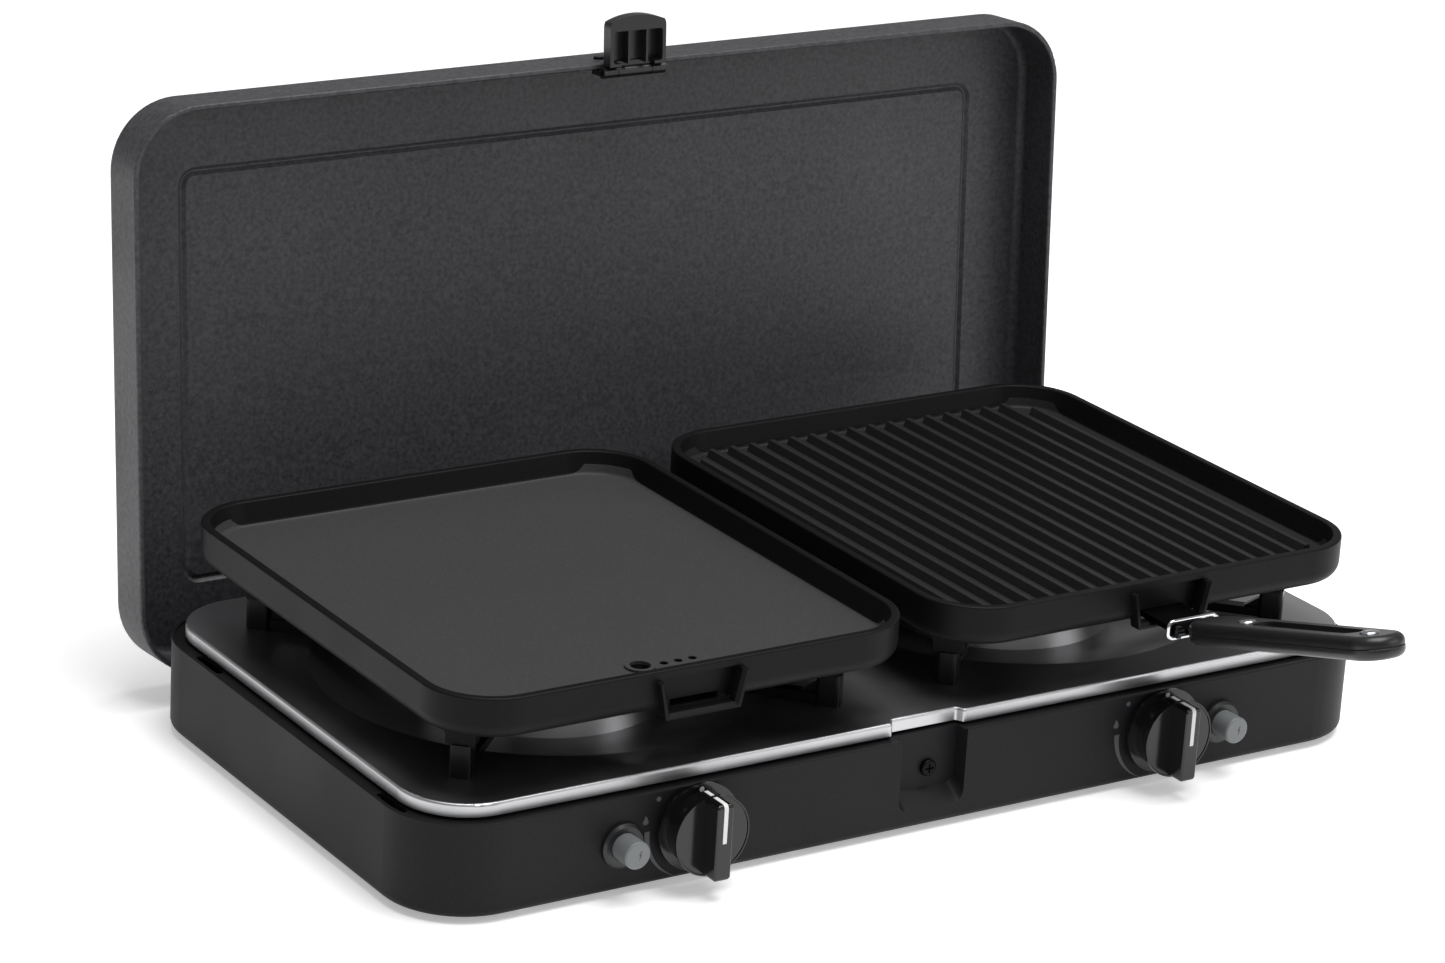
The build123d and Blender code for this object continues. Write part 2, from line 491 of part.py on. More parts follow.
# ---- lift-off handle ----
GRIP_START, GRIP_END, GRIP_HALF, GRIP_THICK = 3.0, 158.0, 15.5, 6.2
SLOT_START, SLOT_END = 51.0, 132.0
HANDLE_RIVETS = (42.0, 140.0)
NECK_HALF, NECK_THICK = 9.0, 3.0
CHEEK_HALF, RING_WIRE, RING_Y, RING_Z = 3.2, 1.3, HANDLE_BEND_Y + 4.5, TONGUE_LOW + TONGUE_THICK / 2


def handle_core():
    """Steel tongue with two ridges for the wire ring, bent up into the flat neck inside the grip."""
    left, right, inner_end = BURNER_X - 13.5, BURNER_X + 13.5, BURNER_Y - PAN_D / 2 + 12
    tongue = box(left, right, HANDLE_BEND_Y, inner_end, TONGUE_LOW, TONGUE_LOW + TONGUE_THICK)
    knuckle = rod_x(TONGUE_THICK / 2, left, right, HANDLE_BEND_Y, HANDLE_BEND_Z - 0.1)
    neck = to_handle(box(-NECK_HALF, NECK_HALF, -HANDLE_RIVETS[0] - 7, 0, -NECK_THICK / 2, NECK_THICK / 2))
    core = joined(tongue, knuckle, neck) - to_handle(disc(2.0, -5, 5, 0, -HANDLE_RIVETS[0]))
    for side in (-1, 1):
        low, high = sorted((BURNER_X + side * 11.0, BURNER_X + side * 13.5))
        core = core + box(low, high, RING_Y - 5, RING_Y + 4, RING_Z - CHEEK_HALF, RING_Z + CHEEK_HALF)
    return core


def handle_ring():
    """Bright wire loop that slides along the tongue and locks it."""
    path = RectangleRounded(32.0, 2 * (CHEEK_HALF + RING_WIRE) + 0.04, 3.2).wire()
    loop = sweep(Plane(origin=path @ 0, z_dir=path % 0) * Circle(RING_WIRE), path=path)
    return Pos(BURNER_X, RING_Y, RING_Z) * Rot(90, 0, 0) * loop


def grip_half(upper):
    """One half of the looped grip, split at mid height."""
    middle, length = -(GRIP_START + GRIP_END) / 2, GRIP_END - GRIP_START
    outline = RectangleRounded(2 * GRIP_HALF, length, 14.5)
    grip = Pos(0, middle, -GRIP_THICK) * extrude(outline, 2 * GRIP_THICK)
    grip = fillet(rim_edges(grip, GRIP_THICK) + rim_edges(grip, -GRIP_THICK), 4.5)
    slot_mid, slot_long = -(SLOT_START + SLOT_END) / 2, SLOT_END - SLOT_START
    grip = grip - Pos(0, slot_mid, -20) * extrude(SlotOverall(slot_long, 13.0, rotation=90), 40)
    channel = box(-NECK_HALF, NECK_HALF, -HANDLE_RIVETS[0] - 7, 0, -NECK_THICK / 2, NECK_THICK / 2)
    grip = grip - channel
    for along in HANDLE_RIVETS:
        grip = grip - disc(2.0, -20, 20, 0, -along)
    half = grip & (box(-40, 40, -200, 0, 0, 20) if upper else box(-40, 40, -200, 0, -20, 0))
    seam = [e for e in rim_edges(half, 0)
            if e.center().Y < -GRIP_END + 12 or abs(e.center().X) > GRIP_HALF - 1]
    return to_handle(chamfer(seam, 0.4))


def handle_rivet(along):
    dome = turned([(0, GRIP_THICK), (5.0, GRIP_THICK), (4.4, GRIP_THICK + 0.7), (2.4, GRIP_THICK + 1.2),
                   (0, GRIP_THICK + 1.3)])
    rivet = disc(2.0, -GRIP_THICK, GRIP_THICK) + dome + mirror(dome, Plane.XY)
    return to_handle(Pos(0, -along, 0) * rivet)


# ---- lid ----
LID_UP = DEPTH                             # lid length from hinge edge to front edge
RIM_BEAD, RIM_HIGH = 3.0, 4.0
GROOVE_INSET, GROOVE_HALF, GROOVE_DEEP = 43.0, 2.4, 1.7
ARM_SCREWS_DEEP = (12.0, 24.0)
LATCH_HALF, LATCH_SCREW_DEEP, LATCH_SCREW_X = 20.0, 20.0, 12.0
LATCH_UP, LATCH_DEEP = LID_UP - 4.5, LID_DEEP + 3.4
BARREL_R, LATCH_PIN_R, HINGE_PIN_R = 3.2, 1.5, 3.0


def hinge_axis():
    """Height and depth of the hinge: the one centre that turns the closed lid into the open one."""
    shut = (BACK, LEDGE_Z + LID_GAP + LID_DEEP)
    across, down = LID_FOOT_Y - shut[0], LID_FOOT_Z - shut[1]
    reach = 1 / (2 * tan(radians((90 + LID_LEAN) / 2)))
    return (shut[0] + across / 2 + down * reach, shut[1] + down / 2 - across * reach)


def hinge_in_lid():
    """The hinge axis in the flat lid's own terms: up the lid, and from its back face."""
    y, z = hinge_axis()
    return BACK - y, LEDGE_Z + LID_GAP + LID_DEEP - z


def tray(grow, deep, low=0.0):
    """Solid with the lid's outline, shrunk by grow, between two depths."""
    outline = RectangleRounded(WIDTH - 2 * grow, LID_UP - 2 * grow, LID_CORNER - grow)
    return Pos(0, LID_UP / 2, low) * extrude(outline, deep - low)


def groove_band(shift):
    """Ring of V section pressed into the lid panel."""
    wide, high = WIDTH - 2 * GROOVE_INSET, LID_UP - 2 * GROOVE_INSET
    outer = RectangleRounded(wide + 2 * GROOVE_HALF, high + 2 * GROOVE_HALF, 8.0 + GROOVE_HALF)
    inner = RectangleRounded(wide - 2 * GROOVE_HALF, high - 2 * GROOVE_HALF, 8.0 - GROOVE_HALF)
    ring = extrude(outer, -GROOVE_DEEP, taper=50) - extrude(inner, -GROOVE_DEEP, taper=-50)
    return Pos(0, LID_UP / 2, shift) * ring


def lid_shell():
    """Shallow tray with a rolled rim; its panel has a pressed groove and a fillet all round."""
    body = fillet(rim_edges(tray(0, LID_DEEP), 0), 6.0)
    hollow = fillet(rim_edges(tray(SHEET, LID_DEEP + 1, SHEET), SHEET), 4.5)
    bead = tray(0, LID_DEEP, LID_DEEP - RIM_HIGH) - tray(RIM_BEAD, LID_DEEP + 1, LID_DEEP - RIM_HIGH - 1)
    bead = fillet(rim_edges(bead, LID_DEEP), 1.0)
    lid = body - hollow - tray(-1, LID_DEEP + 1, LID_DEEP - RIM_HIGH) + bead
    lid = lid + groove_band(0.0) - groove_band(SHEET)
    for side in (-1, 1):
        for deep in ARM_SCREWS_DEEP:
            lid = lid - rod_y(1.6 + FIT, -1, 3, side * HINGE_X, deep)
        lid = lid - rod_y(1.6 + FIT, LID_UP - 3, LID_UP + 1, LATCH_X + side * LATCH_SCREW_X, LATCH_SCREW_DEEP)
    return to_open_lid(lid)


def hinge_arm(x):
    """Cranked arm from the lid's lower wall to the hinge pin inside the casing."""
    up, deep = hinge_in_lid()
    profile = Polyline((SHEET, 7), (6.5, 7), (6.5, 31), (up + 7, deep - 4), (up + 3, deep + 6),
                       (up - 6, deep + 4), (RIM_BEAD + 0.4, 39), (RIM_BEAD + 0.4, 28), (SHEET, 28),
                       close=True)
    arm = Pos(x - ARM_HALF, 0, 0) * extrude(make_face(Plane.YZ * profile), 2 * ARM_HALF)
    arm = arm + rod_x(7.0, x - ARM_HALF, x + ARM_HALF, up, deep)
    arm = arm - rod_x(HINGE_PIN_R + FIT, x - 20, x + 20, up, deep)
    for low in ARM_SCREWS_DEEP:
        arm = arm - rod_y(1.6, 0, 7, x, low)
    return to_open_lid(arm)


def arm_screw(x, deep):
    head = fillet(rod_y(3.0, -1.4, 0, x, deep).faces().sort_by(Axis.Y)[0].edges(), 0.6)
    return to_open_lid(head + rod_y(1.6, 0, 6, x, deep))


def hinge_bracket(x):
    """Two cheeks on a plate behind the rear wall, slotted for the arm."""
    y, z = hinge_axis()
    inner, wall = ARM_HALF + RUN, BACK - SHEET
    bracket = box(x - 24, x + 24, wall - 3, wall, 14, 49)
    bracket = bracket - box(x - inner, x + inner, wall - 5, wall + 2, 10, 60)
    for side in (-1, 1):
        middle = x + side * (inner + 1.5)
        bracket = bracket + box(middle - 1.5, middle + 1.5, y - 7, wall - 1, z - 8, z + 8)
    for side in (-1, 1):
        for height in BRACKET_SCREW_Z:
            bracket = bracket - rod_y(1.6, wall - 4, wall + 2, x + side * BRACKET_SCREW_REACH, height)
    strap = box(x - inner - 3, x + inner + 3, y - 10, y - 7, z - 8, z + 8)
    return bracket + strap - rod_x(HINGE_PIN_R, x - 20, x + 20, y, z)


def hinge_pin(x):
    y, z = hinge_axis()
    reach = ARM_HALF + RUN + 3
    pin = rod_x(HINGE_PIN_R, x - reach - 1, x + reach, y, z)
    return pin + rod_x(4.6, x + reach, x + reach + 1.6, y, z)


def bracket_screw(x, z):
    head = fillet(rod_y(3.0, BACK, BACK + 1.4, x, z).faces().sort_by(Axis.Y)[-1].edges(), 0.6)
    return head + rod_y(1.6, BACK - 7, BACK, x, z)


def latch_bracket():
    """Clip inside the lid's front wall, with the two outer knuckles of the latch hinge."""
    wall = LID_UP - SHEET
    clip = box(-LATCH_HALF, LATCH_HALF, wall - 3.2, wall, 12, 28.5)
    for side in (-1, 1):
        low, high = sorted((side * 11.0, side * LATCH_HALF))
        web = box(low, high, LATCH_UP - 2.2, LATCH_UP + 1.0, 26, LATCH_DEEP)
        clip = clip + web + rod_x(BARREL_R, low, high, LATCH_UP, LATCH_DEEP)
        clip = clip - rod_y(1.6, wall - 5, wall + 1, side * LATCH_SCREW_X, LATCH_SCREW_DEEP)
    return to_open_lid(Pos(LATCH_X, 0, 0) * (clip - rod_x(LATCH_PIN_R, -30, 30, LATCH_UP, LATCH_DEEP)))


def latch_body():
    """Domed clasp, hollow on its inner side, with two ribs and its middle knuckle."""
    foot, tip, back = LATCH_UP + 3.8, LATCH_UP + 32.0, LATCH_DEEP - 3.0
    outline = RectangleRounded(36.0, 40.0, 7.0) & Pos(0, 20 - 44) * Circle(44.0)
    outline = outline & Pos(0, 20 - (tip - foot) / 2) * Rectangle(60, tip - foot)
    shell = Pos(0, tip - 20, back) * extrude(outline, 8.6)
    shell = fillet(rim_edges(shell, back), 1.6)
    hollow = box(-15.8, 15.8, foot + 1.6, tip - 8.5, back + 1.8, back + 12)
    hollow = fillet(hollow.edges().filter_by(Axis.Z), 1.5)
    opening = box(-10.8, 10.8, foot - 1, foot + 3, back + 3.4, back + 12)
    ribs = [box(x - 0.6, x + 0.6, foot + 1, tip - 7, back + 1, back + 8.0) for x in (-5.6, 6.0)]
    neck = box(-10.6, 10.6, LATCH_UP, foot + 2, back, back + 3.4)
    knuckle = rod_x(BARREL_R, -10.6, 10.6, LATCH_UP, LATCH_DEEP)
    body = joined(shell - hollow - opening, neck, knuckle, *ribs)
    return to_open_lid(Pos(LATCH_X, 0, 0) * (body - rod_x(LATCH_PIN_R + FIT, -30, 30, LATCH_UP, LATCH_DEEP)))


def latch_pin():
    return to_open_lid(rod_x(LATCH_PIN_R, LATCH_X - LATCH_HALF, LATCH_X + LATCH_HALF, LATCH_UP, LATCH_DEEP))


def latch_screw(x):
    head = rod_y(3.0, LID_UP, LID_UP + 1.4, x, LATCH_SCREW_DEEP)
    head = fillet(head.faces().sort_by(Axis.Y)[-1].edges(), 0.6)
    return to_open_lid(head + rod_y(1.6, LID_UP - 6, LID_UP, x, LATCH_SCREW_DEEP))


def catch_screw():
    """Cross-head screw in the front recess that the latch hooks over."""
    seat, x = FRONT + RECESS_BACK, LATCH_X
    head = fillet(rod_y(4.6, seat - 2.6, seat, x, STRIKE_SCREW_Z).faces().sort_by(Axis.Y)[0].edges(), 1.1)
    for across, up in ((2.6, 0.5), (0.5, 2.6)):
        low, high = STRIKE_SCREW_Z - up, STRIKE_SCREW_Z + up
        head = head - box(x - across, x + across, seat - 3, seat - 1.2, low, high)
    nut = Pos(x, seat + SHEET, STRIKE_SCREW_Z) * Rot(-90, 0, 0) * extrude(RegularPolygon(4.0, 6), 3)
    return head + rod_y(1.6, seat, seat + 6, x, STRIKE_SCREW_Z) + nut


def main():
    os.makedirs("parts", exist_ok=True)
    write("base_casing", base_casing())
    write("base_floor", base_floor())
    write("rubber_feet", *[rubber_foot(x, y) for x, y in FEET])
    write("floor_screws", *[floor_screw(x, y) for x, y in FLOOR_SCREWS])
    write("top_plate", top_plate())
    write("gas_rail", gas_rail())
    write("gas_inlet", gas_inlet())
    write("catch_screw", catch_screw())
    for name, side in LEFT_RIGHT:
        x = side * BURNER_X
        write(f"burner_body_{name}", burner_body(x))
        write(f"burner_cap_{name}", burner_cap(x))
        write(f"burner_stand_{name}", burner_stand(x))
        write(f"gas_valve_{name}", gas_valve(x))
        write(f"valve_spindle_{name}", valve_spindle(x))
        write(f"injector_{name}", injector(x))
        write(f"thermocouple_{name}", thermocouple(side))
        write(f"electrode_{name}", electrode(side))
        write(f"ignition_lead_{name}", ignition_lead(side))
        write(f"knob_{name}", knob(x) - knob_marker(x))
        write(f"knob_marker_{name}", knob_marker(x))
        write(f"button_bezel_{name}", button_bezel(side * BUTTON_X))
        write(f"igniter_button_{name}", igniter_button(side * BUTTON_X))
        write(f"igniter_module_{name}", igniter_module(side * BUTTON_X))
        write(f"trivet_{name}", trivet(x))
        write(f"hinge_arm_{name}", hinge_arm(side * HINGE_X))
        write(f"hinge_bracket_{name}", hinge_bracket(side * HINGE_X))
        write(f"hinge_pin_{name}", hinge_pin(side * HINGE_X))
    write("griddle_pan", griddle_pan())
    write("grill_pan", grill_pan())
    write("handle_tongue", handle_core())
    write("handle_lock_ring", handle_ring())
    write("handle_grip_upper", grip_half(True))
    write("handle_grip_lower", grip_half(False))
    write("handle_rivets", *[handle_rivet(along) for along in HANDLE_RIVETS])
    write("lid_shell", lid_shell())
    write("arm_screws", *[arm_screw(side * HINGE_X, deep) for side in (-1, 1) for deep in ARM_SCREWS_DEEP])
    write("bracket_screws", *[bracket_screw(x, z) for x, z in BRACKET_SCREWS])
    write("latch_bracket", latch_bracket())
    write("latch_body", latch_body())
    write("latch_pin", latch_pin())
    write("latch_screws", *[latch_screw(LATCH_X + side * LATCH_SCREW_X) for side in (-1, 1)])


main()
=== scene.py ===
# %% [markdown]
# # A two-burner camping stove with its lid open
#
# The stove's metalwork, hinges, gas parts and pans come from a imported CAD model, which is the fixed frame of
# this scene. Here it gets its finishes: powder coat, stainless steel, non-stick coating, enamel and moulded
# plastic, and the marks that are printed on the front wall and on the buttons.

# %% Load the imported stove
from math import cos, pi, radians, sin

import bpy
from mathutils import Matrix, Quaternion, Vector


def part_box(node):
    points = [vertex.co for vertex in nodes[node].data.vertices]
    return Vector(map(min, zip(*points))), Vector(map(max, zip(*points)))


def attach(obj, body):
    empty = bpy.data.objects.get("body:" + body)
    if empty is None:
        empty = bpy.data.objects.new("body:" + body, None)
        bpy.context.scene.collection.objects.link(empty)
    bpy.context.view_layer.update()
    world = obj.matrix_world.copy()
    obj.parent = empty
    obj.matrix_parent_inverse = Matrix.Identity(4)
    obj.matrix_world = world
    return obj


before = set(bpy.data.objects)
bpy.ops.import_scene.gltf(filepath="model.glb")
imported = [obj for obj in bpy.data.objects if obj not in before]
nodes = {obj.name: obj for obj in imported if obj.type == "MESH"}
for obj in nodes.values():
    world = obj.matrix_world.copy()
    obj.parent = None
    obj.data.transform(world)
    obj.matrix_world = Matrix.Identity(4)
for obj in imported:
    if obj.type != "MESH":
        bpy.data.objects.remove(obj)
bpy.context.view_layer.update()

# %% [markdown]
# ## Studio
#
# The camera stands in front of the stove's left corner, a little above it, with a long lens, so that the far
# corner looks almost as large as the near one. It is turned slightly about its own line of sight. The light is
# plain and soft: a pale room, one large soft box overhead and a weak one at the front right. The white floor
# gives off a little light of its own, so that it stays white under the dim room. It also lights the walls.

# %% Camera, floor and lights
AIM = Vector((0.0312, 0.1028, 0.103))
EYE = Vector((-1.3147, -1.9207, 0.9636))

camera = bpy.data.objects.new("camera", bpy.data.cameras.new("camera"))
bpy.context.scene.collection.objects.link(camera)
camera.data.sensor_width = 36.0
camera.data.lens = 114.4
camera.location = EYE
camera.rotation_mode = "QUATERNION"
camera.rotation_quaternion = (AIM - EYE).to_track_quat("-Z", "Y") @ Quaternion((0, 0, 1), radians(3.36))
bpy.context.scene.camera = camera


def soft_box(name, place, size, watts):
    """A square area light that faces the stove."""
    lamp = bpy.data.objects.new(name, bpy.data.lights.new(name, "AREA"))
    bpy.context.scene.collection.objects.link(lamp)
    lamp.data.size = size
    lamp.data.energy = watts
    lamp.location = place
    lamp.rotation_euler = (AIM - Vector(place)).to_track_quat("-Z", "Y").to_euler()
    return lamp


soft_box("overhead_soft_box", (0.3, -0.3, 2.6), 2.0, 75.0)
soft_box("front_right_soft_box", (2.2, -2.2, 1.4), 1.4, 14.0)

bpy.ops.object.select_all(action="DESELECT")
bpy.ops.mesh.primitive_plane_add(size=24.0, location=(0, 0, 0))
floor = bpy.context.object
floor.name = "studio_floor"
bpy.context.scene.view_settings.view_transform = "Standard"
print("camera distance", round((AIM - EYE).length, 3), "m")

# %% [markdown]
# ## Colours and nodes
#
# A colour on a paint card is an sRGB value, but the renderer adds light up in linear values, so one function
# turns a hex colour into linear numbers. A second small function adds any node with its settings and its
# links, which keeps each finish short enough to read.


# %% Helpers for colours and nodes
def linear(hex_colour):
    """Linear RGBA from an sRGB colour such as 1c1c1e."""
    parts = [int(hex_colour[i:i + 2], 16) / 255 for i in (0, 2, 4)]
    return [p / 12.92 if p <= 0.04045 else ((p + 0.055) / 1.055) ** 2.4 for p in parts] + [1.0]


def add_node(tree, kind, settings=None, inputs=None):
    """Adds a node. An input is a value or another node's output, found by its name or number."""
    node = tree.nodes.new(kind)
    for name, value in (settings or {}).items():
        setattr(node, name, value)
    for name, value in (inputs or {}).items():
        if isinstance(value, bpy.types.NodeSocket):
            tree.links.new(value, node.inputs[name])
        else:
            node.inputs[name].default_value = value
    return node


def new_finish(name, hex_colour, roughness, metallic=0.0, shine=0.5):
    """A material with its shader; returns the material, its tree, its shader and the object coordinates."""
    finish = bpy.data.materials.new(name)
    finish.use_nodes = True
    tree = finish.node_tree
    shader = tree.nodes["Principled BSDF"]
    shader.inputs["Base Color"].default_value = linear(hex_colour)
    shader.inputs["Roughness"].default_value = roughness
    shader.inputs["Metallic"].default_value = metallic
    shader.inputs["Specular IOR Level"].default_value = shine
    place = add_node(tree, "ShaderNodeTexCoord").outputs["Object"]
    return finish, tree, shader, place


def per_metre(millimetres):
    """Noise scale for a pattern whose grains are this many millimetres apart."""
    return 1000.0 / millimetres


def grain(tree, place, spacing_mm, detail=2.0, roughness=0.5):
    """Noise whose grains are spacing_mm apart, from 0 to 1."""
    noise = add_node(tree, "ShaderNodeTexNoise", None, {
        "Vector": place, "Scale": per_metre(spacing_mm), "Detail": detail, "Roughness": roughness})
    return noise.outputs["Fac"]


def spread(tree, value, low, high, from_low=0.3, from_high=0.7):
    """Stretches a value between two limits to another range."""
    return add_node(tree, "ShaderNodeMapRange", None, {
        "Value": value, "From Min": from_low, "From Max": from_high,
        "To Min": low, "To Max": high}).outputs["Result"]


def raise_surface(tree, shader, height, depth_mm, strength=1.0):
    """Tilts the surface as if the height pattern stood depth_mm proud."""
    bump = add_node(tree, "ShaderNodeBump", None, {
        "Height": height, "Distance": depth_mm / 1000, "Strength": strength})
    tree.links.new(bump.outputs["Normal"], shader.inputs["Normal"])


def blend_colours(tree, share, hex_a, hex_b):
    """Colour between two, by a share from 0 to 1."""
    mix = add_node(tree, "ShaderNodeMix", {"data_type": "RGBA"}, {0: share})
    mix.inputs[6].default_value = linear(hex_a)
    mix.inputs[7].default_value = linear(hex_b)
    return mix.outputs[2]


print("black powder coat, linear:", [round(v, 4) for v in linear("1c1c1e")])

# %% [markdown]
# ## Powder-coated steel
#
# The casing and lid are deep-drawn steel sheet with a baked polyester powder coat. Powder flows as it melts but
# never quite levels, which leaves an orange-peel surface with lumps about a millimetre apart. The lid has a
# coarser texture than the casing. Both are drawn a little coarser than they are, so that they show.


# %% Powder coats
def powder_coat(name, hex_colour, hex_light, lump_mm, depth_mm, roughness, shine):
    """Baked powder: orange-peel lumps, and gloss that varies in patches."""
    finish, tree, shader, place = new_finish(name, hex_colour, roughness, shine=shine)
    lumps = grain(tree, place, lump_mm, 3.0, 0.6)
    patches = grain(tree, place, 70.0, 1.0)
    tree.links.new(blend_colours(tree, spread(tree, lumps, 0.0, 1.0), hex_colour, hex_light),
                   shader.inputs["Base Color"])
    tree.links.new(spread(tree, patches, roughness - 0.04, roughness + 0.05), shader.inputs["Roughness"])
    raise_surface(tree, shader, lumps, depth_mm, 0.6)
    return finish


casing_coat = powder_coat("black_polyester_powder_coat_fine", "18181a", "1e1e20", 1.6, 0.05, 0.5, 0.14)
lid_coat = powder_coat("black_polyester_powder_coat_textured", "29292b", "46464a", 2.6, 0.2, 0.48, 0.45)
print("powder coats:", casing_coat.name, lid_coat.name)

# %% [markdown]
# ## Stainless steel
#
# The hob plate is pressed from satin stainless sheet. The rolling mill leaves fine lines along the sheet, so
# reflections are clearer along the lines and smeared across them. A noise pattern that is squeezed in two
# directions and left alone in the third draws such lines, here along the stove's width.


# %% Bare metals
def metal(name, hex_colour, roughness, line_mm=0.0, stretch=40.0, stain=0.05):
    """Bare or plated metal with faint smudges, and with fine lines where line_mm is given."""
    finish, tree, shader, place = new_finish(name, hex_colour, roughness, 1.0)
    smudge = grain(tree, place, 45.0, 3.0)
    rough = spread(tree, smudge, roughness - stain, roughness + stain)
    if line_mm:
        squeezed = add_node(tree, "ShaderNodeMapping", None, {
            "Vector": place, "Scale": (1.0, stretch, stretch)})
        lines = grain(tree, squeezed.outputs["Vector"], line_mm * stretch, 2.0)
        raise_surface(tree, shader, lines, 0.006, 0.2)
    tree.links.new(rough, shader.inputs["Roughness"])
    return finish


# rolled 18/8 stainless sheet: neutral grey, clear but soft reflections
stainless = metal("satin_stainless_steel", "c4c4c6", 0.36, line_mm=0.5)
# bright zinc plate on screws and brackets: slightly blue and even
zinc = metal("bright_zinc_plate", "b4b6ba", 0.28)
# chromium plate on drawn wire: almost a mirror
chrome = metal("chromium_plate", "d2d3d5", 0.08)
# turned free-cutting brass: yellow, with fine turning marks
brass = metal("turned_brass", "b8975a", 0.25, line_mm=0.3)
# drawn aluminium pipe and die-cast burner bodies: pale grey, duller as cast
pipe_aluminium = metal("drawn_aluminium_pipe", "c0c2c4", 0.3, line_mm=0.4)
cast_aluminium = metal("die_cast_aluminium", "a0a2a4", 0.5)
# blackened steel of the small screws at the latch: grey-black and soft
black_screw = metal("blackened_screw_steel", "1c1c1d", 0.4)
# blackened steel of the handle's tongue
dark_steel = metal("blackened_steel", "2b2b2d", 0.32)
print("metals:", [m.name for m in (stainless, zinc, chrome, brass, pipe_aluminium, cast_aluminium, dark_steel)])

# %% [markdown]
# ## Non-stick coating, enamel and plastics
#
# The pans are cast aluminium under a sprayed and baked non-stick coating, which is smooth, slightly uneven and
# has a fine fleck. Their cooking surfaces are painted a paler tone than their walls, picked out by position:
# this is painted light, standing in for the overhead light that the upward faces catch. Vitreous enamel on the
# trivets is a thin glass, so it is shinier. The plastics differ mostly in gloss: polished in the knobs, satin
# on the grips and the latch.


# %% Coatings and plastics
def sprayed(name, hex_colour, hex_fleck, roughness, lump_mm, depth_mm, fleck_mm=0.9):
    """A sprayed or glazed layer: soft waves, a fine fleck and slightly uneven gloss."""
    finish, tree, shader, place = new_finish(name, hex_colour, roughness, shine=0.12)
    waves = grain(tree, place, lump_mm, 2.0)
    flecks = spread(tree, grain(tree, place, fleck_mm, 1.0), 0.0, 1.0, 0.55, 0.8)
    tree.links.new(blend_colours(tree, flecks, hex_colour, hex_fleck), shader.inputs["Base Color"])
    tree.links.new(spread(tree, grain(tree, place, 55.0), roughness - 0.03, roughness + 0.04),
                   shader.inputs["Roughness"])
    raise_surface(tree, shader, waves, depth_mm, 0.5)
    return finish


# where the painted light goes: a pan's cooking surface, inside its walls and near its floor
PAN_WALL = 0.0085          # from a pan's outside to its floor
FLOOR_BELOW_RIM = 0.0132   # a little below the pan's floor
SURFACE_BELOW_RIM = 0.007  # the upper end of the paler tone
CORNER_CUT = 0.010         # cuts the corners off, where the pan is round


def calculate(tree, operation, first, second=0.0):
    """The result of one sum or comparison."""
    return add_node(tree, "ShaderNodeMath", {"operation": operation}, {0: first, 1: second}).outputs[0]


def paint_light_inside(finish, pan_name, trivet_name, hex_colour, hex_fleck):
    """Painted light on a pan's cooking surface: paler, as if lit from above, inside its walls and near its
    floor.
    """
    tree = finish.node_tree
    shader = tree.nodes["Principled BSDF"]
    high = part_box(pan_name)[1]
    middle = sum(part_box(trivet_name), Vector()) / 2
    half = high - middle - Vector((PAN_WALL, PAN_WALL, 0))
    place = add_node(tree, "ShaderNodeTexCoord").outputs["Object"]
    axes = add_node(tree, "ShaderNodeSeparateXYZ", None, {"Vector": place}).outputs
    across = calculate(tree, "ABSOLUTE", calculate(tree, "SUBTRACT", axes["X"], middle.x))
    along = calculate(tree, "ABSOLUTE", calculate(tree, "SUBTRACT", axes["Y"], middle.y))
    share = calculate(tree, "GREATER_THAN", axes["Z"], high.z - FLOOR_BELOW_RIM)
    for value, limit in ((axes["Z"], high.z - SURFACE_BELOW_RIM), (across, half.x), (along, half.y),
                         (calculate(tree, "ADD", across, along), half.x + half.y - CORNER_CUT)):
        share = calculate(tree, "MULTIPLY", share, calculate(tree, "LESS_THAN", value, limit))
    flecks = spread(tree, grain(tree, place, 0.9, 1.0), 0.0, 1.0, 0.55, 0.8)
    # the colour of the painted light, with the coating's fleck
    surface = blend_colours(tree, flecks, hex_colour, hex_fleck)
    both = add_node(tree, "ShaderNodeMix", {"data_type": "RGBA"}, {0: share, 7: surface})
    tree.links.new(shader.inputs["Base Color"].links[0].from_socket, both.inputs[6])
    tree.links.new(both.outputs[2], shader.inputs["Base Color"])


def moulded(name, hex_colour, roughness, texture_mm, depth_mm):
    """Moulded plastic or rubber with the spark-eroded texture of its mould."""
    finish, tree, shader, place = new_finish(name, hex_colour, roughness)
    texture = grain(tree, place, texture_mm, 3.0, 0.6)
    tree.links.new(spread(tree, texture, roughness - 0.03, roughness + 0.03), shader.inputs["Roughness"])
    raise_surface(tree, shader, texture, depth_mm, 0.4)
    return finish


nonstick = sprayed("black_nonstick_coating_on_cast_aluminium", "0e0e0f", "171718", 0.45, 3.0, 0.05)
nonstick_ribs = sprayed("black_nonstick_coating_ribbed_pan", "0e0e0f", "19191a", 0.45, 3.0, 0.05)
# painted light: the paler cooking surfaces stand in for the overhead light they catch
paint_light_inside(nonstick, "griddle_pan", "trivet_left", "3c3c3d", "49494a")
paint_light_inside(nonstick_ribs, "grill_pan", "trivet_right", "242425", "303031")
trivet_enamel = sprayed("black_vitreous_enamel", "141415", "1a1a1b", 0.24, 4.0, 0.06)
cap_enamel = sprayed("matt_black_vitreous_enamel", "151516", "1c1c1c", 0.5, 2.0, 0.06)
knob_plastic = moulded("polished_black_phenolic", "101011", 0.16, 0.8, 0.004)
grip_plastic = moulded("satin_black_phenolic", "161617", 0.36, 0.8, 0.02)
latch_plastic = moulded("satin_black_nylon", "131314", 0.3, 0.8, 0.015)
bezel_plastic = moulded("satin_black_nylon_bezel", "18181a", 0.34, 0.8, 0.012)
button_plastic = moulded("grey_abs", "6f7273", 0.45, 1.0, 0.02)
rubber = moulded("black_nitrile_rubber", "1b1b1b", 0.75, 0.9, 0.05)
cable_rubber = moulded("black_silicone_cable", "1d1d1d", 0.6, 0.9, 0.02)
